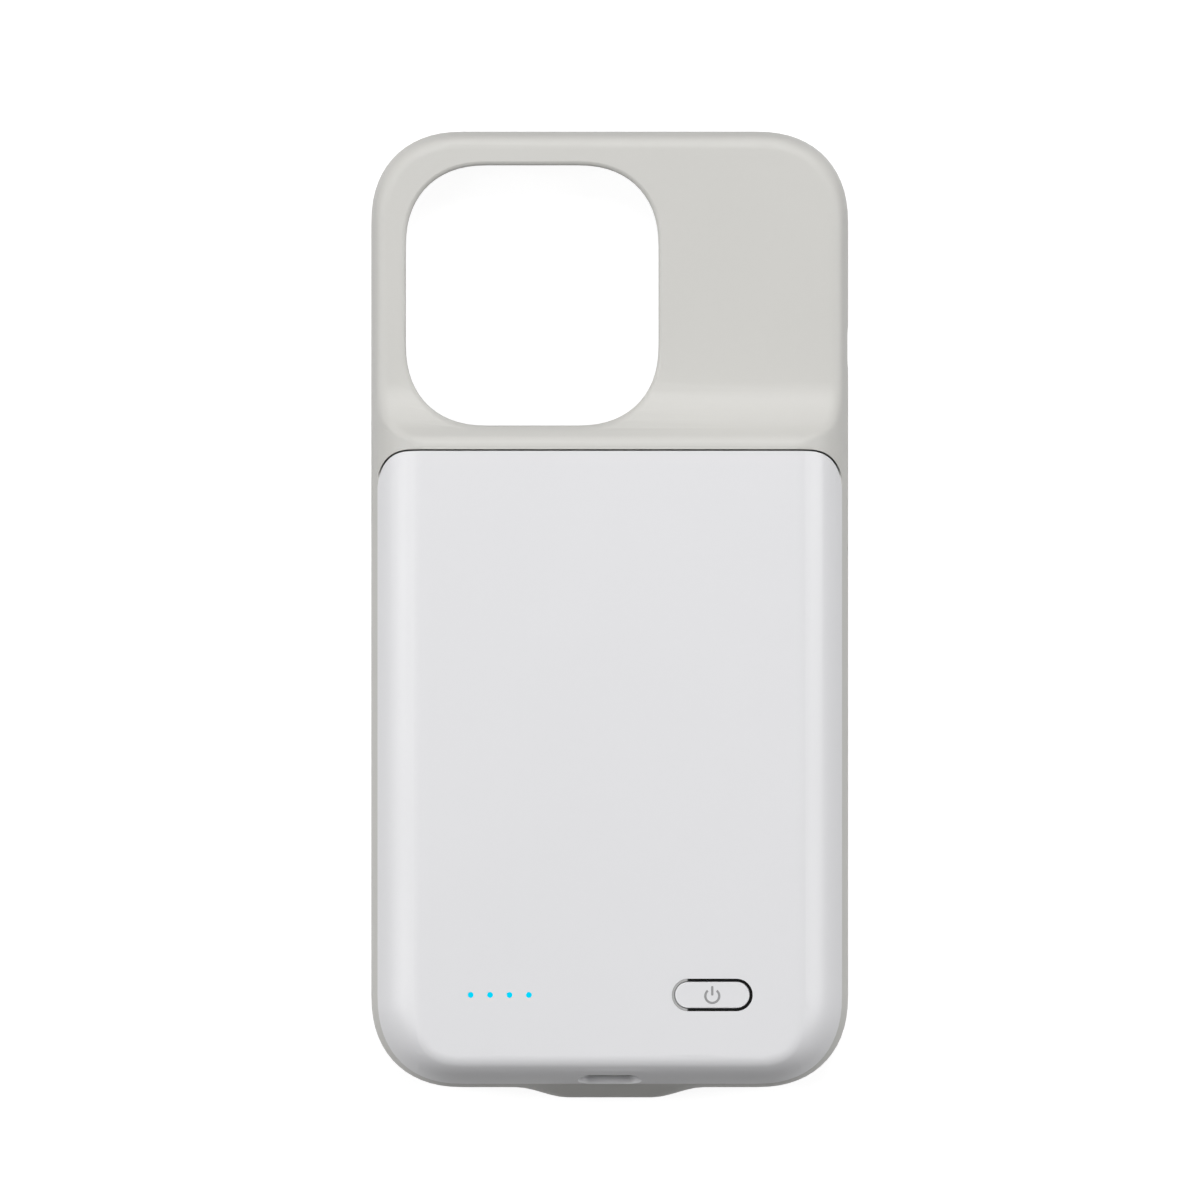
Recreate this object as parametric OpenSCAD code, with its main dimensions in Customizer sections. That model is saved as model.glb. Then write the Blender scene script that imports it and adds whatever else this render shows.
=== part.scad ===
// Clip-on battery case: a soft frame round an open pocket, with a hard battery housing on its back.
// The case lies face down. Its open front is at z = 0, the battery housing is on top, and +Y runs
// towards the window end. The origin is below the middle of the case. All sizes are in millimetres.

/* [Case] */
// Width of the case
case_w = 75; // [74.6:0.1:76]
// Length of the case without its chin
case_l = 150.3; // [150:0.1:152]
// Thickness over the battery
case_t = 17; // [16.8:0.1:18]
// Thickness at the window end
camera_end_t = 11.3; // [11:0.1:11.8]
// Reach of the four outer corners along each edge
corner_c = 14.5; // [13.5:0.1:15.5]
// How far the chin stands out at the bottom end
chin_drop = 1.6; // [1.2:0.1:2]

/* [Pocket] */
// Nominal width of the pocket, without its clearance
phone_w = 70.6; // [70:0.1:70.8]
// Nominal length of the pocket
phone_l = 146.6; // [146:0.1:146.8]
// Nominal depth of the pocket above the front lip
phone_t = 8.25; // [8:0.05:8.35]

/* [Window] */
// Width of the window
window_w = 39.7; // [36:0.1:40.4]
// Length of the window
window_l = 40.9; // [38:0.1:41.8]
// Rounding of the window's outer edge
window_edge = 0.8; // [0.4:0.1:1]

/* [Button and lights] */
// Length of the hole for the power button and its ring
button_l = 12.7; // [11:0.1:14]
// Width of that hole
button_w = 5.1; // [4.8:0.1:5.6]
// Travel of the power button
button_travel = 0.35; // [0.2:0.05:0.4]
// Distance between two lights
led_pitch = 3.05; // [2.8:0.05:3.2]
// Diameter of a light pin
led_d = 0.82; // [0.7:0.02:1]

/* [Hidden] */

frame_grey = "#cfceca";
cover_white = "#e3e3e5";
tray_grey = "#b9b8b4";
steel = "#c9ccd0";
black = "#151515";
board_green = "#1f5a43";

eps = 0.01;
half_w = case_w / 2;
y_top = (case_l + chin_drop) / 2;
y_low = y_top - case_l;

// Outer section: a flat rim, a vertical side, then one long curve over to the flat back.
rim_in = 1.6;       // how far the front rim lies inside the side
rim_h = 2;          // height at which the rim's rounding ends
side_z = 5;         // height at which the long curve starts
curve_side = 8.4;   // width of the long curve along the sides
curve_end = 4.9;    // width of it at the bottom end
edge_r = 1.7;       // rounding of the edge around the flat back
curve_h = case_t - side_z;
curve_steps = 8;
edge_steps = 4;
rim_steps = 3;

// Ramp from the window end up to the battery: a hollow arc that runs into a tight round one.
ridge_y = 26.4;
ramp_y = 36.7;
ridge_r = 2.2;
ramp_angle = 2 * atan((case_t - camera_end_t) / (ramp_y - ridge_y));
hollow_r = (ramp_y - ridge_y) / sin(ramp_angle) - ridge_r;

// Corners are superellipses, a little squarer than a circle.
squareness = 2.29;
corner_steps = 15;

// Chin over the connector at the bottom end.
chin_flat = 6.6;
chin_half = 14.8;
chin_top_z = 10;

// Pocket.
lip_t = 1.2;
lip_in = 1.4;
fit = 0.1;
pocket_z = lip_t + phone_t + 0.15;
pocket_hx = phone_w / 2 + fit;
pocket_y1 = y_top - 1.9;
pocket_y0 = pocket_y1 - phone_l - 2 * fit;
pocket_c = 11.9;
phone_z = lip_t + phone_t / 2;

// Battery housing. Its seam is level with the top of the tray behind the pocket.
tray_t = 1;
seam_z = pocket_z + tray_t;
seam_y = 25.7;
seam_gap = 0.27;
cover_hx = 36.66;
cover_corner = [6.6, 9.6];
cover_squareness = 3;
cover_wall = 1.3;
cover_in_z = case_t - cover_wall;
tray_z = pocket_z + tray_t;
tray_y0 = pocket_y0 + 0.1;
tray_y1 = seam_y - cover_wall - 0.2;
tray_hx = pocket_hx - 0.1;
tray_c = 11.7;
rim_c = 11.6;

// Window.
window_x = -12.18;
window_y = 50.15;
window_c = 12.8;

// Circuit board and what is on it.
board_z = tray_z + 0.7;
board_t = 0.8;
board_top = board_z + board_t;
board_hx = 26;
board_y0 = -70.7;
board_y1 = -51;
control_y = -59.75;
led_x = -17.27;
button_x = 16.1;
screw_spots = [[-23.4, -54], [23.4, -54], [-23.4, -67.5], [23.4, -67.5]];
port_z = 12.65;
port_w = 8.94;
port_h = 3.26;
port_l = 7.35;
port_y = -72.1;
cell_hx = 31;
cell_y0 = -43.5;
cell_y1 = 22;
pad_t = 0.2;
cell_t = 4.3;

// Connector that stands in the pocket.
plug_w = 8.34;
plug_h = 2.56;
plug_l = 6.65;
foot_hx = 9;
foot_y0 = -74.1;
foot_wall = 0.6;
foot_z0 = 2;
foot_z1 = 8.2;
foot_neck_y = -73.3;
plug_board_t = 0.6;
flex_x0 = -7.4;
flex_x1 = -5;

function pw(v, e) = v <= 0 ? 0 : pow(v, e);
function clamp01(v) = max(0, min(1, v));
function smooth(v) = let(u = clamp01(v)) u * u * (3 - 2 * u);

// One point of a superellipse corner with reaches c.x and c.y, and the outward normal there.
function corner_point(t, c, e) = [c.x * pw(cos(t), 2 / e), c.y * pw(sin(t), 2 / e)];
function corner_normal(t, c, e) =
    let(v = [pw(cos(t), 2 - 2 / e) / c.x, pw(sin(t), 2 - 2 / e) / c.y]) v / norm(v);

// Stations [x, y, normal x, normal y] from the middle of the bottom end round to the middle of the
// top end, on the +X side.
function half_outline(hx, y0, y1, low, high, low_xs = [0], side_ys = [], steps = corner_steps,
    e = squareness) = concat(
    [for (x = low_xs) [x, y0, 0, -1]],
    [for (i = [0 : steps])
        let(t = 90 - 90 * i / steps, p = corner_point(t, low, e), n = corner_normal(t, low, e))
        [hx - low.x + p.x, y0 + low.y - p.y, n.x, -n.y]],
    [for (y = side_ys) [hx, y, 1, 0]],
    [for (i = [0 : steps])
        let(t = 90 * i / steps, p = corner_point(t, high, e), n = corner_normal(t, high, e))
        [hx - high.x + p.x, y1 - high.y + p.y, n.x, n.y]],
    [[0, y1, 0, 1]]);

// The whole ring, anticlockwise from above, from one half.
function full_ring(half) = concat(half,
    [for (i = [len(half) - 2 : -1 : 1]) let(s = half[i]) [-s[0], s[1], -s[2], s[3]]]);

module plan(hx, y0, y1, low, high, e = squareness) {
    polygon([for (s = full_ring(half_outline(hx, y0, y1, low, high, e = e))) [s[0], s[1]]]);
}

module pill(l, w) {
    square([l - w, w], center = true);
    for (side = [-1, 1])
        translate([side * (l - w) / 2, 0]) circle(d = w, $fn = 48);
}

// A bar along Y with a pill section, from y0 to y1.
module pill_bar(x, z, l, h, y0, y1) {
    translate([x, y1, z]) rotate([90, 0, 0]) linear_extrude(y1 - y0) pill(l, h);
}

module block(x0, x1, y0, y1, z0, z1) {
    translate([x0, y0, z0]) cube([x1 - x0, y1 - y0, z1 - z0]);
}

// Height of the flat back at y: the window end, the ramp and the battery.
function back_z(y) =
    y >= ramp_y ? camera_end_t :
    y <= ridge_y ? case_t :
    y > ramp_y - hollow_r * sin(ramp_angle)
        ? camera_end_t + hollow_r - sqrt(pow(hollow_r, 2) - pow(ramp_y - y, 2))
        : case_t - ridge_r + sqrt(pow(ridge_r, 2) - pow(y - ridge_y, 2));

// Width of the long curve at a station: narrow at the bottom end, wide elsewhere.
function curve_w(s) = s[3] < 0 ? curve_side * s[2] * s[2] + curve_end * s[3] * s[3] : curve_side;

// Section at a station as [inset, height], from the front rim to the flat back, set in by wall.
function section(s, wall) = let(
    top = back_z(s[1]) - wall,
    a = curve_w(s) - wall,
    h = curve_h - wall,
    meet = asin(min(1, (top - side_z) / h)),
    last = meet - edge_r / norm([a * sin(meet), h * cos(meet)]) * 180 / PI,
    p = [wall + a * (1 - cos(last)), side_z + h * sin(last)],
    c = [p.x + (top - p.y) / (h * cos(last)) * a * sin(last), top],
    f = [c.x + norm(c - p), top])
    concat(
        [for (k = [0 : rim_steps]) let(b = 90 * k / rim_steps)
            [wall + rim_in * (1 - sin(b)), rim_h * (1 - cos(b))]],
        [[wall, side_z]],
        [for (k = [1 : curve_steps]) let(b = last * k / curve_steps)
            [wall + a * (1 - cos(b)), side_z + h * sin(b)]],
        [for (k = [1 : edge_steps]) let(t = k / edge_steps)
            (1 - t) * (1 - t) * p + 2 * t * (1 - t) * c + t * t * f]);

function chin_out(x, z) = chin_drop * smooth((chin_half - abs(x)) / (chin_half - chin_flat))
    * smooth((chin_top_z - z) / (chin_top_z - side_z));

function skin_point(s, q) = let(x = s[0] - q[0] * s[2], y = s[1] - q[0] * s[3])
    [x, y - (s[3] == -1 ? chin_out(x, q[1]) : 0), q[1]];

function loft_sides(n, m) = [for (k = [0 : m - 2]) for (i = [0 : n - 1])
    let(a = k * n + i, b = k * n + (i + 1) % n) each [[a, b + n, b], [a, a + n, b + n]]];

function reversed(v) = [for (i = [len(v) - 1 : -1 : 0]) v[i]];

// Stacked rings of points with flat ends.
module loft(rings) {
    n = len(rings[0]);
    m = len(rings);
    polyhedron(
        points = [for (r = rings) each r],
        faces = concat([[for (i = [0 : n - 1]) i]], [[for (i = [n - 1 : -1 : 0]) (m - 1) * n + i]],
            loft_sides(n, m)));
}

// Stations along the side where the ramp bends.
ramp_stations = concat([ridge_y],
    [for (k = [1 : 5]) ridge_y + ridge_r * sin(ramp_angle * k / 5)],
    [for (k = [5 : -1 : 1]) ramp_y - hollow_r * sin(ramp_angle * k / 6)],
    [ramp_y]);
chin_stations = concat([0], [for (k = [0 : 6]) chin_flat + (chin_half - chin_flat) * k / 6]);

// Triangles from a centre point to each edge of a ring of indices.
function fan(centre, ids) = [for (i = [0 : len(ids) - 1]) [centre, ids[i], ids[(i + 1) % len(ids)]]];

// The whole outside of the case, set in by wall, as one solid.
module skin(wall = 0) {
    half = half_outline(half_w, y_low, y_top, [corner_c, corner_c], [corner_c, corner_c],
        chin_stations, ramp_stations);
    ring = full_ring(half);
    n = len(ring);
    sections = [for (s = ring) section(s, wall)];
    m = len(sections[0]);
    ridge = len(chin_stations) + corner_steps + 1;
    base = ridge + len(ramp_stations) - 1;
    last = (m - 1) * n;
    polyhedron(
        points = concat(
            [for (k = [0 : m - 1]) for (i = [0 : n - 1]) skin_point(ring[i], sections[i][k])],
            [[0, 0, 0], [0, -20, case_t - wall], [15, 55, camera_end_t - wall]]),
        faces = concat(
            fan(m * n, [for (i = [0 : n - 1]) i]),
            loft_sides(n, m),
            fan(m * n + 1, [for (i = [0 : 2 * ridge]) last + (n + ridge - i) % n]),
            [for (i = [ridge : base - 1]) reversed([last + i, last + i + 1, last + n - i - 1, last + n - i])],
            fan(m * n + 2, [for (i = [n - base : -1 : base]) last + i])));
}

// Plan of the battery housing. Its long sides and bottom end lie outside the skin, which trims them.
module cover_plan(inset = 0) {
    plan(cover_hx - inset, y_low - 3, seam_y - inset, [1, 1],
        [cover_corner.x - inset, cover_corner.y - inset], cover_squareness);
}

// The window's cutter, which rounds the edge of the opening and follows the ramp.
module camera_window() {
    half = half_outline(window_w / 2, -window_l / 2, window_l / 2,
        [window_c, window_c], [window_c, window_c]);
    ring = [for (s = full_ring(half)) [s[0] + window_x, s[1] + window_y, s[2], s[3]]];
    steps = [for (b = [0, 25, 50, 75]) [window_edge * (1 - cos(b)), window_edge * (1 - sin(b))]];
    flare = window_edge + 0.25;
    loft(concat(
        [[for (s = ring) [s[0], s[1], pocket_z - 1]]],
        [for (q = steps) [for (s = ring) let(y = s[1] + q[0] * s[3])
            [s[0] + q[0] * s[2], y, back_z(y) - q[1]]]],
        [[for (s = ring) let(y = s[1] + flare * s[3]) [s[0] + flare * s[2], y, back_z(y) + 0.06]]],
        [[for (s = ring) [s[0] + flare * s[2], s[1] + flare * s[3], case_t + 2]]]));
}

// A pill-shaped cut through one side wall: side is 1 for +X and -1 for -X.
module side_cut(side, y, z, l, h, depth) {
    translate([side * (half_w - depth), y, z]) rotate([90, 0, side * 90])
        linear_extrude(depth + 1) pill(l, h);
}

// A fine groove in the outer wall that frees a moulded button pad.
module pad_groove(side, y, l) {
    pad_h = 3.4;
    groove = 0.35;
    translate([side * (half_w - 0.35), y, phone_z]) rotate([90, 0, side * 90])
        linear_extrude(2) difference() {
            pill(l + 2 * groove, pad_h + 2 * groove);
            pill(l, pad_h);
        }
}

volume_up_y = pocket_y1 - 46.6;
volume_down_y = pocket_y1 - 59.1;
side_key_y = pocket_y1 - 51.5;
action_y = pocket_y1 - 32;
sound_x = 20.5;

// Hollow from the pocket's side under the thick part of the ramp, with ribs left standing in it.
module ramp_coring() {
    for (x = [10.6, 18.6, 26.6])
        translate([x, 27.3, pocket_z - 1]) rotate([90, 0, 90])
            linear_extrude(6.8) polygon([[0, 0], [6.4, 0], [6.4, 1.7], [3.4, 2.6], [1, 4.6], [0, 4.9]]);
}

// Soft moulding: side walls, front lip, panel around the window, ramp and chin.
module soft_frame() {
    color(frame_grey) difference() {
        skin();
        translate([0, 0, lip_t]) linear_extrude(pocket_z - lip_t)
            plan(pocket_hx, pocket_y0, pocket_y1, [pocket_c, pocket_c], [pocket_c, pocket_c]);
        translate([0, 0, -1]) linear_extrude(lip_t + 1.5)
            plan(pocket_hx - lip_in, pocket_y0 + lip_in, pocket_y1 - lip_in,
                [pocket_c - lip_in, pocket_c - lip_in], [pocket_c - lip_in, pocket_c - lip_in]);
        translate([0, 0, seam_z]) linear_extrude(case_t) cover_plan(-seam_gap);
        translate([0, 0, pocket_z - 1]) linear_extrude(case_t)
            plan(tray_hx + 0.1, tray_y0 - 0.1, tray_y1 + 0.1, [pocket_c, pocket_c], [6, 6]);
        camera_window();
        ramp_coring();
        side_cut(1, action_y, 4.3, 9.1, 5.4, 4);
        pad_groove(1, volume_up_y, 9.6);
        pad_groove(1, volume_down_y, 9.6);
        pad_groove(-1, side_key_y, 15);
        for (side = [-1, 1])
            pill_bar(side * sound_x, phone_z, 9.5, 2.8, y_low - 1, pocket_y0 + 1);
        foot_block(0.05);
    }
}

// Hard outer shell over the battery.
module battery_cover() {
    color(cover_white) difference() {
        intersection() {
            skin();
            translate([0, 0, seam_z]) linear_extrude(case_t) cover_plan();
        }
        intersection() {
            skin(cover_wall);
            translate([0, 0, seam_z - 1]) linear_extrude(case_t) cover_plan(cover_wall);
        }
        translate([button_x, control_y, cover_in_z - 1]) linear_extrude(5) pill(button_l, button_w);
        for (x = led_xs)
            translate([x, control_y, cover_in_z - 1]) cylinder(d = led_d + 0.1, h = 5, $fn = 24);
        pill_bar(0, port_z, 9.9, 3.9, y_low - 1, y_low + 4);
    }
}

led_xs = [for (k = [0 : 3]) led_x + (k - 1.5) * led_pitch];

// The foot that holds the connector, grown by gap.
module foot_block(gap = 0) {
    block(-foot_hx - gap, foot_hx + gap, foot_y0 - gap, pocket_y0 + 0.5, foot_z0 - gap, foot_z1 + gap);
    block(-foot_hx - gap, foot_hx + gap, foot_neck_y - gap, pocket_y0 + 0.5, foot_z1 - 1, seam_z + gap);
}

// Plate behind the pocket, with the rim that locates the cover, the board's posts and the foot.
module inner_tray() {
    rib = 0.9;
    color(tray_grey) difference() {
        union() {
            translate([0, 0, pocket_z]) linear_extrude(tray_t)
                plan(tray_hx, tray_y0, tray_y1, [tray_c, tray_c], [6, 6]);
            translate([0, 0, pocket_z + tray_t / 2]) linear_extrude(tray_t / 2 + 1) difference() {
                plan(34.5, -72, tray_y1 - 0.1, [rim_c, rim_c], [6, 6]);
                plan(34.5 - rib, -72 + rib, tray_y1 - 0.1 - rib,
                    [rim_c - rib, rim_c - rib], [6 - rib, 6 - rib]);
            }
            for (p = screw_spots)
                translate([p.x, p.y, pocket_z + 0.2]) cylinder(d = 4, h = board_z - pocket_z - 0.2, $fn = 32);
            for (x = [-cell_hx - 1.3, cell_hx + 0.1]) for (y = [cell_y0 + 4, cell_y1 - 16])
                block(x, x + 1.2, y, y + 12, pocket_z + 0.2, tray_z + 1.6);
            block(-20, 20, cell_y1 + 0.1, cell_y1 + 1.3, pocket_z + 0.2, tray_z + 1.6);
            intersection() {
                foot_block();
                block(-20, 20, foot_y0 - 1, pocket_y0, 0, seam_z);
            }
            block(-foot_hx, foot_hx, pocket_y0 - 0.2, pocket_y0 + 0.6, pocket_z + 0.05, seam_z);
        }
        // pocket for the connector's board, open towards the chin
        block(-7.7, 7.7, foot_y0 - 1, pocket_y0 - foot_wall, foot_z0 + 0.6, foot_z1 - 0.6);
        pill_bar(0, phone_z, plug_w + 0.1, plug_h + 0.1, foot_y0 - 1, pocket_y0 + 1);
        // way through for the flexible link
        block(flex_x0 - 0.2, flex_x1 + 0.2, pocket_y0 - foot_wall - 0.3, pocket_y0 - 0.3,
            phone_z + 1.5, seam_z + 1);
        block(flex_x0 - 0.2, flex_x1 + 0.2, pocket_y0 - 0.5, -70.6, pocket_z + 0.35, seam_z + 3);
        for (p = screw_spots)
            translate([p.x, p.y, pocket_z + 0.3]) cylinder(d = 1.7, h = 5, $fn = 24);
        block(-port_w / 2 - 0.4, port_w / 2 + 0.4, -72.6, -70.9, tray_z, tray_z + 3);
    }
}

// Pouch cell with its sealed flap at the board's end.
module battery_cell() {
    fold_r = 1.4;
    z0 = tray_z + pad_t;
    color("#b7bbc1") union() {
        translate([0, cell_y0, z0]) rotate([-90, 0, 0]) mirror([0, 1, 0])
            linear_extrude(cell_y1 - cell_y0) pouch_section(cell_hx, cell_t, fold_r);
        block(-cell_hx + 2, cell_hx - 2, cell_y0 - 4, cell_y0 + 0.5, z0 + 2, z0 + 2.4);
    }
}

// Section of the pouch: flat faces with rounded long edges.
module pouch_section(hx, t, r) {
    polygon(concat(
        [for (b = [0 : 15 : 90]) [hx - r + r * sin(b), r - r * cos(b)]],
        [for (b = [0 : 15 : 90]) [hx - r + r * cos(b), t - r + r * sin(b)]],
        [for (b = [0 : 15 : 90]) [-hx + r - r * sin(b), t - r + r * cos(b)]],
        [for (b = [0 : 15 : 90]) [-hx + r - r * cos(b), r - r * sin(b)]]));
}

module cell_pad() {
    color("#f2efe6") block(-25, 25, cell_y0 + 4, cell_y1 - 4, tray_z, tray_z + pad_t);
}

protect_y0 = cell_y0 - 7.4;
protect_y1 = cell_y0 - 4.2;
flap_z = tray_z + pad_t + 2.4;
lead_t = 0.15;
bend_y = protect_y0 + 0.4;

// Narrow board that guards the cell, on two small feet of its own.
module cell_protection_board() {
    color(board_green) union() {
        block(-15, 15, protect_y0 + 0.6, protect_y1, flap_z - 0.8, flap_z);
        for (x = [-13, 12])
            block(x, x + 1, protect_y0 + 0.8, protect_y1 - 0.2, tray_z, flap_z - 0.6);
    }
}

// Nickel strip from the cell's flap, over the guard board, down to the main board.
module cell_lead(x) {
    color(steel) translate([x, 0, 0]) rotate([90, 0, 90]) translate([0, 0, -1.5]) linear_extrude(3)
        polygon([[cell_y0 - 2, flap_z], [cell_y0 - 2, flap_z + lead_t], [bend_y, flap_z + lead_t],
            [board_y1 - 2.4, board_top + lead_t], [board_y1 - 4.4, board_top + lead_t],
            [board_y1 - 4.4, board_top], [board_y1 - 2.4, board_top], [bend_y, flap_z]]);
}

module positive_lead() {
    cell_lead(9);
}

module negative_lead() {
    cell_lead(-9);
}

// Main board with the notch that the charging port sits in.
module circuit_board() {
    color(board_green) difference() {
        block(-board_hx, board_hx, board_y0, board_y1, board_z, board_top);
        block(-port_w / 2 - 0.1, port_w / 2 + 0.1, board_y0 - 1, port_y + port_l + 0.1,
            board_z - 1, board_top + 1);
        for (p = screw_spots)
            translate([p.x, p.y, board_z - 1]) cylinder(d = 1.8, h = 4, $fn = 24);
    }
}

module board_screws() {
    color(steel) for (p = screw_spots)
        translate([p.x, p.y, 0]) difference() {
            union() {
                translate([0, 0, board_top]) cylinder(d = 2.8, h = 0.8, $fn = 32);
                translate([0, 0, pocket_z + 0.5]) cylinder(d = 1.6, h = board_top - pocket_z - 0.4, $fn = 24);
            }
            for (turn = [0, 90])
                translate([0, 0, board_top + 0.6]) rotate([0, 0, turn]) cube([1.8, 0.3, 0.6], center = true);
        }
}

// Steel shell of the charging port with the four ears that stand on the board.
module charge_port_shell() {
    wall = 0.3;
    color(steel) union() {
        difference() {
            pill_bar(0, port_z, port_w, port_h, port_y, port_y + port_l);
            pill_bar(0, port_z, port_w - 2 * wall, port_h - 2 * wall, port_y - 1, port_y + port_l + 1);
        }
        for (side = [-1, 1]) for (y = [port_y + 2.4, port_y + 5.4])
            block(side > 0 ? port_w / 2 - 0.2 : -port_w / 2 - 1.2, side > 0 ? port_w / 2 + 1.2 : -port_w / 2 + 0.2,
                y, y + 1.2, board_top, board_top + 0.3);
    }
}

module charge_port_tongue() {
    color(black) union() {
        pill_bar(0, port_z, port_w - 0.62, port_h - 0.62, port_y + 5.2, port_y + port_l - 0.05);
        block(-3.34, 3.34, port_y + 0.8, port_y + 5.4, port_z - 0.35, port_z + 0.35);
    }
}

switch_w = 4.5;
switch_h = 1.2;
plunger_top = board_top + 1.8;

module switch_body() {
    color(steel) translate([button_x, control_y, board_top]) difference() {
        translate([-switch_w / 2, -switch_w / 2, 0]) cube([switch_w, switch_w, switch_h]);
        translate([0, 0, 0.4]) cylinder(d = 2.2, h = 2, $fn = 32);
    }
}

module switch_plunger() {
    color(black) translate([button_x, control_y, board_top + 0.8])
        cylinder(d = 2.1, h = plunger_top - board_top - 0.8, $fn = 32);
}

ring_w = 0.38;
key_gap = 0.1;
ring_flange_z = cover_in_z - 0.6;
key_l = button_l - 2 * ring_w - 2 * key_gap - 0.04;
key_w = button_w - 2 * ring_w - 2 * key_gap - 0.04;

// Power button: the key, the flange that keeps it in, and the stem that presses the switch.
module power_button() {
    flange_top = ring_flange_z - 0.05;
    color(cover_white) translate([button_x, control_y, 0]) union() {
        translate([0, 0, flange_top - 0.1]) linear_extrude(case_t - flange_top + 0.1) pill(key_l, key_w);
        translate([0, 0, flange_top - 0.6]) linear_extrude(0.6) pill(key_l + 1, key_w + 1);
        translate([0, 0, plunger_top]) cylinder(d = 2.4, h = flange_top - 0.3 - plunger_top, $fn = 32);
    }
}

// Trim ring around the key, held from inside by its flange.
module button_ring() {
    color(black) translate([button_x, control_y, 0]) difference() {
        union() {
            translate([0, 0, ring_flange_z]) linear_extrude(case_t - ring_flange_z)
                pill(button_l - 0.04, button_w - 0.04);
            translate([0, 0, ring_flange_z]) linear_extrude(0.6) pill(button_l + 1.4, button_w + 1.4);
        }
        translate([0, 0, ring_flange_z - 1]) linear_extrude(5)
            pill(button_l - 0.04 - 2 * ring_w, button_w - 0.04 - 2 * ring_w);
    }
}

led_h = 0.4;
guide_z = board_top + 0.6;

// Clear moulding that carries the light of four lamps to the back: a bar, two legs and four pins.
module light_guide() {
    leg = 4.5 + led_pitch;
    color("#d8f6ff") union() {
        block(led_x - leg, led_x + leg, control_y - 1.2, control_y + 1.2, guide_z, guide_z + 1);
        for (side = [-1, 1])
            block(led_x + side * (leg - 0.6) - 0.6, led_x + side * (leg - 0.6) + 0.6,
                control_y - 1.2, control_y + 1.2, board_top, guide_z + 0.2);
        for (x = led_xs)
            translate([x, control_y, guide_z + 0.5]) cylinder(d = led_d, h = case_t - guide_z - 0.5, $fn = 24);
    }
}

module status_led(k) {
    color("#00dcff") block(led_xs[k] - 0.5, led_xs[k] + 0.5, control_y - 0.3, control_y + 0.3,
        board_top, board_top + led_h);
}

module chip(x, y, w, h, c = black) {
    color(c) block(x - w / 2, x + w / 2, y - w / 2, y + w / 2, board_top, board_top + h);
}

module control_chip() {
    chip(-3.6, -59.6, 5, 0.8);
}

module charge_chip() {
    chip(6.2, -59.2, 3.6, 0.8);
}

module power_inductor() {
    color("#3a3a3c") translate([-13, -67, board_top]) difference() {
        translate([-3, -3, 0]) cube([6, 6, 2.2]);
        translate([0, 0, 2]) cylinder(d = 4.4, h = 1, $fn = 32);
    }
}

module capacitors() {
    color("#c9a777") for (k = [0 : 5])
        block(10 + 1.8 * k, 11 + 1.8 * k, -68.6, -67, board_top, board_top + 0.8);
}

// Connector shell, which stands in the bottom end of the pocket.
module plug_shell() {
    wall = 0.25;
    color(steel) difference() {
        pill_bar(0, phone_z, plug_w, plug_h, pocket_y0 - foot_wall, pocket_y0 + plug_l);
        pill_bar(0, phone_z, plug_w - 2 * wall, plug_h - 2 * wall,
            pocket_y0 - foot_wall - 1, pocket_y0 + plug_l + 1);
    }
}

// Plastic core of the plug with the slot that takes the port's tongue.
module plug_insert() {
    color(black) difference() {
        pill_bar(0, phone_z, plug_w - 0.54, plug_h - 0.54, pocket_y0 - foot_wall, pocket_y0 + plug_l - 0.4);
        block(-3.4, 3.4, pocket_y0 + 0.6, pocket_y0 + plug_l + 1, phone_z - 0.42, phone_z + 0.42);
    }
}

module plug_board() {
    color(board_green) block(-7.5, 7.5, pocket_y0 - foot_wall - plug_board_t, pocket_y0 - foot_wall,
        foot_z0 + 0.7, foot_z1 - 0.7);
}

// Flexible link from the connector's board up to the main board.
module plug_flex() {
    t = 0.12;
    y_up = pocket_y0 - foot_wall;
    z_turn = seam_z - 0.3;
    color("#c98a3a") translate([flex_x0, 0, 0]) rotate([90, 0, 90]) linear_extrude(flex_x1 - flex_x0)
        polygon([[y_up, phone_z + 1.6], [y_up + t, phone_z + 1.6], [y_up + t, z_turn],
            [-71.6, z_turn], [-70.6, board_z - t], [-68.5, board_z - t], [-68.5, board_z],
            [-70.7, board_z], [-71.7, z_turn + t], [y_up, z_turn + t]]);
}

soft_frame();
battery_cover();
inner_tray();
battery_cell();
cell_pad();
cell_protection_board();
positive_lead();
negative_lead();
circuit_board();
board_screws();
charge_port_shell();
charge_port_tongue();
switch_body();
switch_plunger();
power_button();
button_ring();
light_guide();
status_led(0);  // status_led_1
status_led(1);  // status_led_2
status_led(2);  // status_led_3
status_led(3);  // status_led_4
control_chip();
charge_chip();
power_inductor();
capacitors();
plug_shell();
plug_insert();
plug_board();
plug_flex();
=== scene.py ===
"""Looks of a clip-on battery case, lying face down, seen from straight above."""
import math

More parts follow.
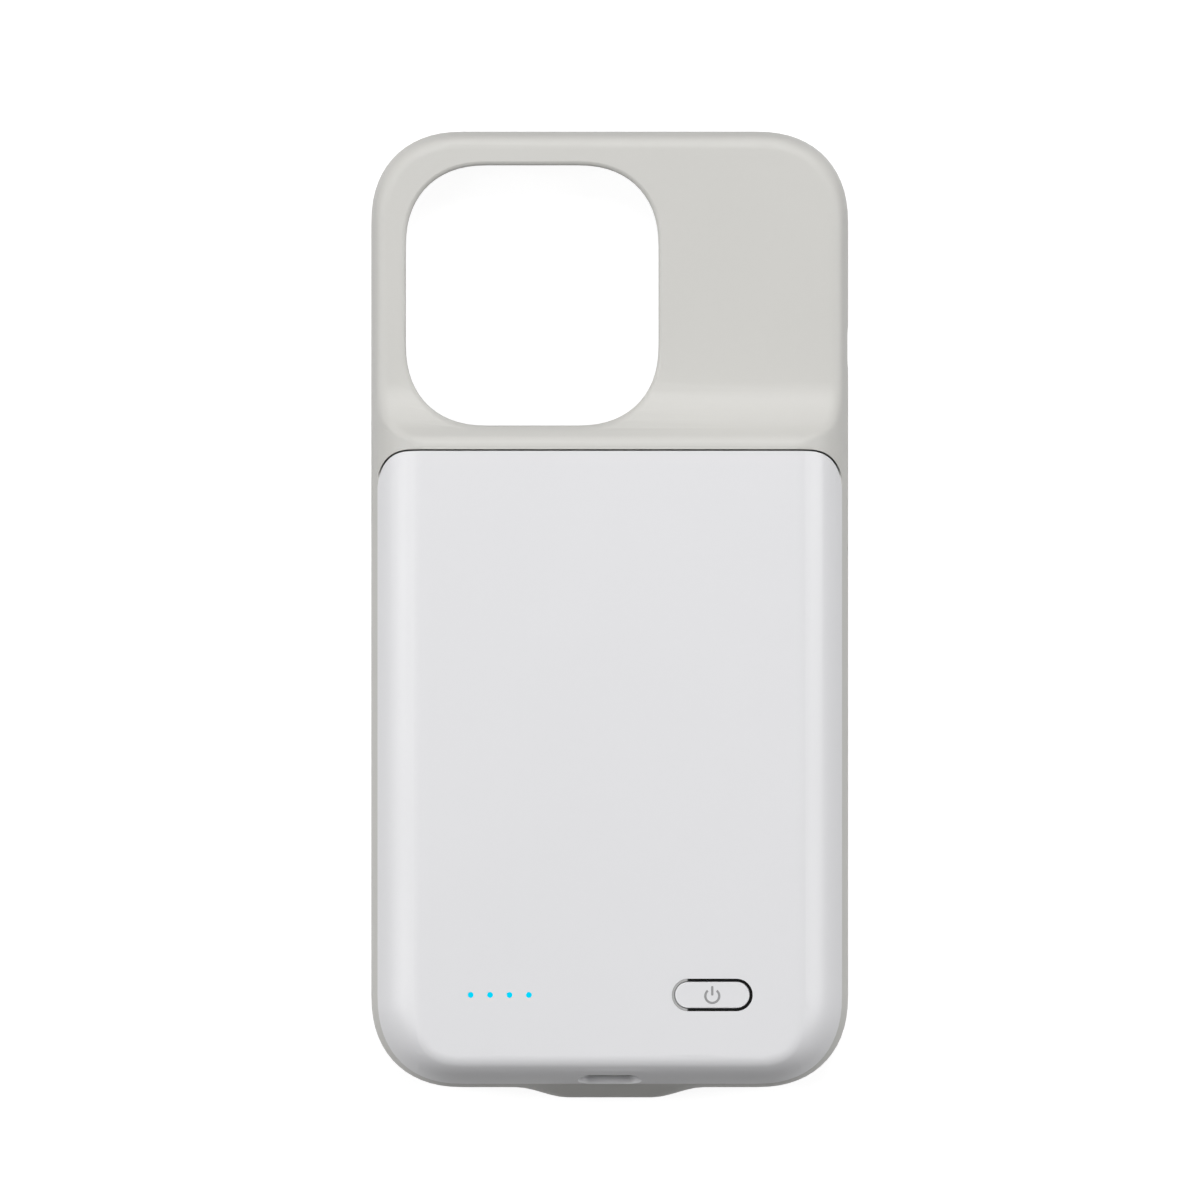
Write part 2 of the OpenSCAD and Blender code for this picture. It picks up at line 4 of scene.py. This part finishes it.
import bpy
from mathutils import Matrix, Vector


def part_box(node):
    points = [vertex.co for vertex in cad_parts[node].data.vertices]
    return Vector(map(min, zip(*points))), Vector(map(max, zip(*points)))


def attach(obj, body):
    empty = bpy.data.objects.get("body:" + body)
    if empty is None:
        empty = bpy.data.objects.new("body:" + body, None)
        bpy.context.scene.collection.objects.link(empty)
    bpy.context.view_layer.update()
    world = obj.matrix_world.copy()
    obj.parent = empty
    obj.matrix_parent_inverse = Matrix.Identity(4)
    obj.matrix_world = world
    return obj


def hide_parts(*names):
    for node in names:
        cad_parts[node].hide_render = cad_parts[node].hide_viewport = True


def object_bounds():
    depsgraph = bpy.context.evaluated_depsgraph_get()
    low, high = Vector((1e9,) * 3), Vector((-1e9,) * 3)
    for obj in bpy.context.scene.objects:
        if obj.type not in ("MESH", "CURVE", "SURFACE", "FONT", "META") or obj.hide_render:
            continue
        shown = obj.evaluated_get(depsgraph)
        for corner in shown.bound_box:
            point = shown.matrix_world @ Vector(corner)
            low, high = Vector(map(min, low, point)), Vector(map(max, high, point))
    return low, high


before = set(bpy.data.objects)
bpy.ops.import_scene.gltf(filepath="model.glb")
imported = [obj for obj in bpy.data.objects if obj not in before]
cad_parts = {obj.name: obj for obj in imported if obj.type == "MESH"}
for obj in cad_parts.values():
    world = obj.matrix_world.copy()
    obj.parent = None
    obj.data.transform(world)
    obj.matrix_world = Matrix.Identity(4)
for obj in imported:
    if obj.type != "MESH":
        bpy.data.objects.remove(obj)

MM = 0.001
cad_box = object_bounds()
floor_z = cad_box[0].z

# The photograph's framing: how much of the floor its width covers, and the case point at its middle.
PHOTO_WIDTH = 188.75 * MM
PHOTO_MIDDLE = Vector((-1.53 * MM, 2.28 * MM, 0))

# Places on the case, from the CAD nodes. The ring's box takes in the flange that holds it from inside.
RING_FLANGE = 0.7 * MM
button_low, button_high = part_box("power_button")
ring_low, ring_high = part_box("button_ring")
button_x = (button_low.x + button_high.x) / 2
button_y = (button_low.y + button_high.y) / 2
ring_end_radius = (ring_high.y - ring_low.y) / 2 - RING_FLANGE


# Small helpers for working in Blender as by hand

def deselect_all():
    bpy.ops.object.select_all(action="DESELECT")


def make_active(obj):
    deselect_all()
    obj.select_set(True)
    bpy.context.view_layer.objects.active = obj


def apply_modifiers(obj):
    make_active(obj)
    for modifier in list(obj.modifiers):
        bpy.ops.object.modifier_apply(modifier=modifier.name)


def place_in_mesh(obj):
    """The object ends at the origin, unturned, with its place in its mesh."""
    make_active(obj)
    bpy.ops.object.transform_apply(location=True, rotation=True, scale=True)


# Materials

def new_group(name, inputs, outputs):
    """An empty shader node group. Inputs are (name, kind, default), outputs are (name, kind)."""
    group = bpy.data.node_groups.new(name, "ShaderNodeTree")
    for label, kind, default in inputs:
        socket = group.interface.new_socket(label, in_out="INPUT", socket_type=kind)
        socket.default_value = default
    for label, kind in outputs:
        group.interface.new_socket(label, in_out="OUTPUT", socket_type=kind)
    return group, group.nodes.new("NodeGroupInput"), group.nodes.new("NodeGroupOutput")


def add_noise(tree, vector, detail, scale=None, scale_from=None):
    noise = tree.nodes.new("ShaderNodeTexNoise")
    noise.inputs["Detail"].default_value = detail
    tree.links.new(vector, noise.inputs["Vector"])
    if scale_from is not None:
        tree.links.new(scale_from, noise.inputs["Scale"])
    else:
        noise.inputs["Scale"].default_value = scale
    return noise.outputs["Fac"]


def add_math(tree, operation, a, b):
    node = tree.nodes.new("ShaderNodeMath")
    node.operation = operation
    for socket, value in zip(node.inputs, (a, b)):
        if hasattr(value, "is_output"):
            tree.links.new(value, socket)
        else:
            socket.default_value = value
    return node.outputs[0]


# What all moulded skins share. The scales are in features per metre.
SLOW_SCALE = 45
SPECK_SCALE = 900
SPECK_SHARE = 0.35
ROUGHNESS_SWING = 0.12


def moulded_surface_group():
    """The skin of a moulded part: a fine spark grain, slow unevenness of tone and a little dust."""
    group, entry, leave = new_group(
        "moulded_surface",
        [("Colour", "NodeSocketColor", (0.8, 0.8, 0.8, 1)), ("Tone", "NodeSocketFloat", 0.02),
         ("Roughness", "NodeSocketFloat", 0.5), ("Grain scale", "NodeSocketFloat", 5000)],
        [("Colour", "NodeSocketColor"), ("Roughness", "NodeSocketFloat"), ("Height", "NodeSocketFloat")])
    place = group.nodes.new("ShaderNodeTexCoord").outputs["Object"]
    grain = add_noise(group, place, detail=3, scale_from=entry.outputs["Grain scale"])
    slow = add_noise(group, place, detail=2, scale=SLOW_SCALE)
    speck = add_noise(group, place, detail=1, scale=SPECK_SCALE)
    uneven = add_math(group, "SUBTRACT", slow, 0.5)
    fleck = add_math(group, "MULTIPLY", add_math(group, "SUBTRACT", speck, 0.5), SPECK_SHARE)
    shade = add_math(group, "MULTIPLY", add_math(group, "ADD", uneven, fleck), entry.outputs["Tone"])
    lift = group.nodes.new("ShaderNodeVectorMath")
    lift.operation = "SCALE"
    group.links.new(entry.outputs["Colour"], lift.inputs[0])
    group.links.new(add_math(group, "ADD", shade, 1.0), lift.inputs["Scale"])
    group.links.new(lift.outputs[0], leave.inputs["Colour"])
    swing = add_math(group, "MULTIPLY", uneven, ROUGHNESS_SWING)
    rough = add_math(group, "ADD", entry.outputs["Roughness"], swing)
    group.links.new(rough, leave.inputs["Roughness"])
    group.links.new(grain, leave.inputs["Height"])
    return group


SURFACE = moulded_surface_group()


def new_material(name):
    material = bpy.data.materials.new(name)
    material.use_nodes = True
    return material, material.node_tree, material.node_tree.nodes["Principled BSDF"]


def moulded(name, colour, roughness, tone=0.03, grain_mm=0.25, grain_depth_mm=0.006, metallic=0.0,
            specular=0.5, coat=0.0):
    """A plastic, rubber or metal finish from the shared surface group."""
    material, tree, shader = new_material(name)
    surface = tree.nodes.new("ShaderNodeGroup")
    surface.node_tree = SURFACE
    surface.inputs["Colour"].default_value = (*colour, 1)
    surface.inputs["Tone"].default_value = tone
    surface.inputs["Roughness"].default_value = roughness
    surface.inputs["Grain scale"].default_value = 1 / (grain_mm * MM)
    bump = tree.nodes.new("ShaderNodeBump")
    bump.inputs["Strength"].default_value = 1
    bump.inputs["Distance"].default_value = grain_depth_mm * MM
    tree.links.new(surface.outputs["Colour"], shader.inputs["Base Color"])
    tree.links.new(surface.outputs["Roughness"], shader.inputs["Roughness"])
    tree.links.new(surface.outputs["Height"], bump.inputs["Height"])
    tree.links.new(bump.outputs["Normal"], shader.inputs["Normal"])
    shader.inputs["Metallic"].default_value = metallic
    shader.inputs["Specular IOR Level"].default_value = specular
    shader.inputs["Coat Weight"].default_value = coat
    return material


def linear(red, green, blue):
    """A colour given as it looks on screen, 0 to 255, in the shader's linear values."""
    def straight(value):
        value /= 255
        return value / 12.92 if value <= 0.04045 else ((value + 0.055) / 1.055) ** 2.4
    return straight(red), straight(green), straight(blue)


# The change from the painted grey reflection to black lies this far before and after the start of the
# ring's left end.
CHANGE_BEFORE = 0.25 * MM
CHANGE_AFTER = 0.05 * MM


def ring_material():
    """The ring is black, with a painted grey reflection round its left end, and a sharp change between
    the two.
    """
    material, tree, shader = new_material("ring_black_painted_reflection")
    place = tree.nodes.new("ShaderNodeTexCoord").outputs["Object"]
    parts = tree.nodes.new("ShaderNodeSeparateXYZ")
    tree.links.new(place, parts.inputs[0])
    left_end = ring_low.x + RING_FLANGE + ring_end_radius
    ramp = tree.nodes.new("ShaderNodeMapRange")
    ramp.inputs["From Min"].default_value = left_end - CHANGE_BEFORE
    ramp.inputs["From Max"].default_value = left_end + CHANGE_AFTER
    tree.links.new(parts.outputs["X"], ramp.inputs["Value"])
    mix = tree.nodes.new("ShaderNodeMix")
    mix.data_type = "RGBA"
    tree.links.new(ramp.outputs["Result"], mix.inputs["Factor"])
    # Painted reflection: the grey A stands in for a lamp's reflection round the left end; the black B is
    # the ring's own colour.
    mix.inputs["A"].default_value = (*linear(172, 172, 172), 1)
    mix.inputs["B"].default_value = (*linear(10, 10, 10), 1)
    tree.links.new(mix.outputs["Result"], shader.inputs["Base Color"])
    shader.inputs["Roughness"].default_value = 0.5
    shader.inputs["Specular IOR Level"].default_value = 0.15
    return material


# How much of a lit plastic's colour is there without its own light.
UNLIT_SHARE = 0.08


def lit_material(name, colour, strength):
    """A clear plastic lit from behind: nearly all of its colour is its own light."""
    material, _, shader = new_material(name)
    unlit = [UNLIT_SHARE * channel for channel in colour]
    shader.inputs["Base Color"].default_value = (*unlit, 1)
    shader.inputs["Emission Color"].default_value = (*colour, 1)
    shader.inputs["Emission Strength"].default_value = strength
    shader.inputs["Roughness"].default_value = 0.4
    shader.inputs["Specular IOR Level"].default_value = 0.03
    return material


GREY = linear(202, 201, 197)
WHITE = linear(226, 226, 228)

soft_grey = moulded("soft_touch_grey", GREY, 0.5, grain_mm=0.12, grain_depth_mm=0.004, specular=0.4)
white_satin = moulded("satin_white", WHITE, 0.36, tone=0.015, grain_mm=0.3, grain_depth_mm=0.003,
                      specular=0.4)
tray_plastic = moulded("tray_grey", linear(186, 185, 181), 0.5, tone=0.04, grain_mm=0.2)
cell_foil = moulded("cell_foil", linear(190, 193, 197), 0.34, grain_mm=1.2, grain_depth_mm=0.02,
                    metallic=0.9)
foam = moulded("adhesive_foam", linear(240, 237, 228), 0.9, tone=0.08, grain_mm=0.4, grain_depth_mm=0.03)
board_green = moulded("solder_resist", linear(28, 92, 68), 0.3, tone=0.2, grain_mm=0.6, coat=0.3)
bare_steel = moulded("plated_steel", linear(200, 203, 206), 0.28, tone=0.06, grain_mm=0.5, metallic=1.0)
nickel = moulded("nickel_strip", linear(202, 199, 190), 0.32, tone=0.06, grain_mm=0.8, metallic=1.0)
black_plastic = moulded("black_plastic", linear(24, 24, 24), 0.45, tone=0.2, grain_mm=0.2)
ferrite = moulded("ferrite", linear(58, 58, 60), 0.6, tone=0.3, grain_mm=0.15, grain_depth_mm=0.02)
ceramic = moulded("ceramic_tan", linear(196, 170, 126), 0.35, tone=0.1)
amber_film = moulded("amber_film", linear(190, 122, 40), 0.25, tone=0.08, coat=0.5)
symbol_ink = moulded("symbol_ink", linear(150, 150, 151), 0.5, tone=0.05, grain_mm=0.08)
lamp_blue = lit_material("lamp_blue", linear(0, 217, 252), 0.9)
ring_with_painted_reflection = ring_material()

FINISH = {
    "inner_tray": tray_plastic, "battery_cell": cell_foil, "cell_pad": foam,
    "cell_protection_board": board_green, "positive_lead": nickel, "negative_lead": nickel,
    "circuit_board": board_green, "board_screws": bare_steel, "charge_port_shell": bare_steel,
    "charge_port_tongue": black_plastic, "switch_body": bare_steel, "switch_plunger": black_plastic,
    "light_guide": lamp_blue, "status_led_1": lamp_blue, "status_led_2": lamp_blue,
    "status_led_3": lamp_blue, "status_led_4": lamp_blue, "control_chip": black_plastic,
    "charge_chip": black_plastic, "power_inductor": ferrite, "capacitors": ceramic,
    "plug_shell": bare_steel, "plug_insert": black_plastic, "plug_board": board_green,
    "plug_flex": amber_film,
}


def paint(obj, material):
    obj.data.materials.clear()
    obj.data.materials.append(material)


for node_name, material in FINISH.items():
    paint(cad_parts[node_name], material)


# Pieces that the camera sees, as merged, softened copies of their CAD nodes

# Points this close are one, faces this nearly in one plane are one, and edges sharper than the last
# angle are rounded.
MERGE_DISTANCE = 0.0005 * MM
FLAT_ANGLE = math.radians(0.4)
SHARP_ANGLE = math.radians(32)
EDGE_STEPS = 2


def softened_copy(node, name, material, body, edge, cuts=()):
    """A copy of a CAD node whose faces are joined, with a small round on its sharp edges.

    Cuts are places in x where long faces are divided, so that a hole in them leaves the shading
    beside it even.
    """
    make_active(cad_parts[node])
    bpy.ops.object.duplicate()
    piece = bpy.context.view_layer.objects.active
    piece.name = name
    piece.data.name = name
    bpy.ops.object.mode_set(mode="EDIT")
    bpy.ops.mesh.select_all(action="SELECT")
    bpy.ops.mesh.remove_doubles(threshold=MERGE_DISTANCE)
    bpy.ops.mesh.dissolve_limited(angle_limit=FLAT_ANGLE)
    for cut_x in cuts:
        bpy.ops.mesh.select_all(action="SELECT")
        bpy.ops.mesh.bisect(plane_co=(cut_x, 0, 0), plane_no=(1, 0, 0))
    bpy.ops.object.mode_set(mode="OBJECT")
    bpy.ops.object.shade_smooth_by_angle(angle=SHARP_ANGLE)
    rounding = piece.modifiers.new("edge", "BEVEL")
    rounding.width = edge
    rounding.segments = EDGE_STEPS
    rounding.limit_method = "ANGLE"
    rounding.angle_limit = SHARP_ANGLE
    weighted = piece.modifiers.new("even", "WEIGHTED_NORMAL")
    weighted.keep_sharp = True
    apply_modifiers(piece)
    paint(piece, material)
    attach(piece, body)
    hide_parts(node)


# The cuts across the cover stand closest at the charging port's opening in its bottom end.
COVER_CUTS = [place * MM for place in (-30, -24, -18, -12, -8, -5.6, -3, 0, 3, 5.6, 8, 12, 18, 24, 30)]

softened_copy("soft_frame", "frame_moulding", soft_grey, "case", edge=0.1 * MM)
softened_copy("battery_cover", "cover_shell", white_satin, "case", edge=0.05 * MM, cuts=COVER_CUTS)
softened_copy("power_button", "power_key_cap", white_satin, "power_key", edge=0.08 * MM)
softened_copy("button_ring", "button_trim_ring", ring_with_painted_reflection, "case", edge=0.03 * MM)


# Power symbol on the key

# The symbol's ring has its middle a little below the key's, and is open to this angle on each side
# of straight up. Half of the ink's thickness stands above the key.
SYMBOL_RADIUS = 1.27 * MM
SYMBOL_STROKE = 0.36 * MM
SYMBOL_DROP = 0.16 * MM
SYMBOL_GAP_DEG = 38
SYMBOL_STEPS = 72
SYMBOL_INK = 0.028 * MM
BAR_LENGTH = 1.5 * MM
BAR_LIFT = 0.82 * MM
BAR_ROUNDING = 0.45 * SYMBOL_STROKE
BAR_STEPS = 5


def power_symbol():
    """A ring open at the top, with a bar through the gap, as one thin printed piece."""
    top = button_high.z
    arc_y = button_y - SYMBOL_DROP
    deselect_all()
    bpy.ops.mesh.primitive_circle_add(
        vertices=SYMBOL_STEPS, radius=SYMBOL_RADIUS, fill_type="NOTHING", location=(button_x, arc_y, top))
    arc = bpy.context.active_object
    arc.name = "power_symbol"
    bpy.ops.object.mode_set(mode="EDIT")
    bpy.ops.mesh.select_all(action="SELECT")
    bpy.ops.mesh.extrude_edges_move()
    shrink = (SYMBOL_RADIUS - SYMBOL_STROKE) / SYMBOL_RADIUS
    bpy.ops.transform.resize(value=(shrink, shrink, 1), center_override=(button_x, arc_y, top))
    bpy.ops.mesh.select_all(action="DESELECT")
    bpy.ops.object.mode_set(mode="OBJECT")
    for face in arc.data.polygons:
        centre = face.center
        angle = math.degrees(math.atan2(centre.x, centre.y))
        face.select = abs(angle) < SYMBOL_GAP_DEG
    bpy.ops.object.mode_set(mode="EDIT")
    bpy.ops.mesh.delete(type="FACE")
    bpy.ops.object.mode_set(mode="OBJECT")
    place_in_mesh(arc)
    deselect_all()
    bpy.ops.mesh.primitive_plane_add(size=1, location=(button_x, arc_y + BAR_LIFT, top))
    bar = bpy.context.active_object
    bar.scale = (SYMBOL_STROKE, BAR_LENGTH, 1)
    place_in_mesh(bar)
    bpy.ops.object.mode_set(mode="EDIT")
    bpy.ops.mesh.select_all(action="SELECT")
    bpy.ops.mesh.bevel(offset=BAR_ROUNDING, segments=BAR_STEPS, affect="VERTICES")
    bpy.ops.object.mode_set(mode="OBJECT")
    deselect_all()
    bar.select_set(True)
    arc.select_set(True)
    bpy.context.view_layer.objects.active = arc
    bpy.ops.object.join()
    thicken = arc.modifiers.new("ink", "SOLIDIFY")
    thicken.thickness = SYMBOL_INK
    thicken.offset = 0
    apply_modifiers(arc)
    paint(arc, symbol_ink)
    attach(arc, "power_key")


power_symbol()


# Floor, lamps, world and camera

# The case gets light back from the floor as from a dark grey one, and the floor shows as white.
FLOOR_SIZE = 6
FLOOR_BOUNCE = 0.1
FLOOR_WHITE = 0.25
FLOOR_GLOW = 0.9


def white_floor():
    """Pale floor that keeps the case's shadow, and gives back less light than it shows."""
    bpy.ops.mesh.primitive_plane_add(size=FLOOR_SIZE, location=(0, 0, floor_z))
    floor = bpy.context.active_object
    floor.name = "floor"
    material = bpy.data.materials.new("pale_floor")
    material.use_nodes = True
    tree = material.node_tree
    tree.nodes.clear()
    leave = tree.nodes.new("ShaderNodeOutputMaterial")
    bounce = tree.nodes.new("ShaderNodeBsdfDiffuse")
    bounce.inputs["Color"].default_value = (FLOOR_BOUNCE,) * 3 + (1,)
    shown = tree.nodes.new("ShaderNodeBsdfDiffuse")
    shown.inputs["Color"].default_value = (FLOOR_WHITE,) * 3 + (1,)
    glow = tree.nodes.new("ShaderNodeEmission")
    glow.inputs["Strength"].default_value = FLOOR_GLOW
    both = tree.nodes.new("ShaderNodeAddShader")
    tree.links.new(shown.outputs[0], both.inputs[0])
    tree.links.new(glow.outputs[0], both.inputs[1])
    path = tree.nodes.new("ShaderNodeLightPath")
    seen = add_math(tree, "MAXIMUM", path.outputs["Is Camera Ray"], path.outputs["Is Glossy Ray"])
    seen = add_math(tree, "MAXIMUM", seen, path.outputs["Is Transmission Ray"])
    mix = tree.nodes.new("ShaderNodeMixShader")
    tree.links.new(seen, mix.inputs[0])
    tree.links.new(bounce.outputs[0], mix.inputs[1])
    tree.links.new(both.outputs[0], mix.inputs[2])
    tree.links.new(mix.outputs[0], leave.inputs["Surface"])
    paint(floor, material)


def pale_world(level):
    world = bpy.data.worlds.new("studio")
    bpy.context.scene.world = world
    world.use_nodes = True
    tree = world.node_tree
    tree.nodes.clear()
    leave = tree.nodes.new("ShaderNodeOutputWorld")
    fill = tree.nodes.new("ShaderNodeBackground")
    fill.inputs["Strength"].default_value = level
    white = tree.nodes.new("ShaderNodeBackground")
    white.inputs["Strength"].default_value = 1
    path = tree.nodes.new("ShaderNodeLightPath")
    mix = tree.nodes.new("ShaderNodeMixShader")
    tree.links.new(path.outputs["Is Camera Ray"], mix.inputs[0])
    tree.links.new(fill.outputs[0], mix.inputs[1])
    tree.links.new(white.outputs[0], mix.inputs[2])
    tree.links.new(mix.outputs[0], leave.inputs["Surface"])


def soft_lamp(name, place, size, power):
    """A rectangular lamp at place, facing the case. Size is (across, along), in metres."""
    data = bpy.data.lights.new(name, "AREA")
    data.shape = "RECTANGLE"
    data.size, data.size_y = size
    data.energy = power
    lamp = bpy.data.objects.new(name, data)
    bpy.context.scene.collection.objects.link(lamp)
    lamp.location = place
    lamp.rotation_euler = (-Vector(place)).to_track_quat("-Z", "Y").to_euler()


# The light from all round the case, which the camera sees as white.
WORLD_LEVEL = 0.04

# Each lamp: place, size across and along, and power in watts.
LAMPS = {
    "overhead": ((0, 0, 1.2), (0.9, 0.9), 0.75),
    "far_high": ((0, 0.70, 1.0), (0.9, 0.4), 8.4),
    "far_low": ((0, 1.15, 0.25), (0.9, 0.3), 2.2),
    "left_high": ((-0.86, 0, 0.84), (0.4, 0.9), 4.6),
    "left_low": ((-1.15, 0, 0.25), (0.3, 0.9), 4.6),
    "right_high": ((1.05, 0, 0.56), (0.4, 0.9), 6.8),
}

white_floor()
pale_world(WORLD_LEVEL)
for lamp_name, (lamp_place, lamp_size, lamp_power) in LAMPS.items():
    soft_lamp(lamp_name, lamp_place, lamp_size, lamp_power)

# A very long lens, so that the view is almost flat. The photograph's scale holds at the height of the
# case's outline. The clip distances are in metres.
LENS_MM = 1500
SENSOR_MM = 36
OUTLINE_HEIGHT = 5 * MM
CLIP_NEAR = 0.1
CLIP_FAR = 30


def overhead_camera():
    """Looks straight down, with the case's window end up in the picture."""
    data = bpy.data.cameras.new("camera")
    data.lens = LENS_MM
    data.sensor_width = SENSOR_MM
    data.clip_start = CLIP_NEAR
    data.clip_end = CLIP_FAR
    camera = bpy.data.objects.new("camera", data)
    bpy.context.scene.collection.objects.link(camera)
    distance = PHOTO_WIDTH * LENS_MM / SENSOR_MM
    camera.location = PHOTO_MIDDLE + Vector((0, 0, OUTLINE_HEIGHT + distance))
    bpy.context.scene.camera = camera


overhead_camera()
bpy.context.scene.view_settings.view_transform = "Standard"
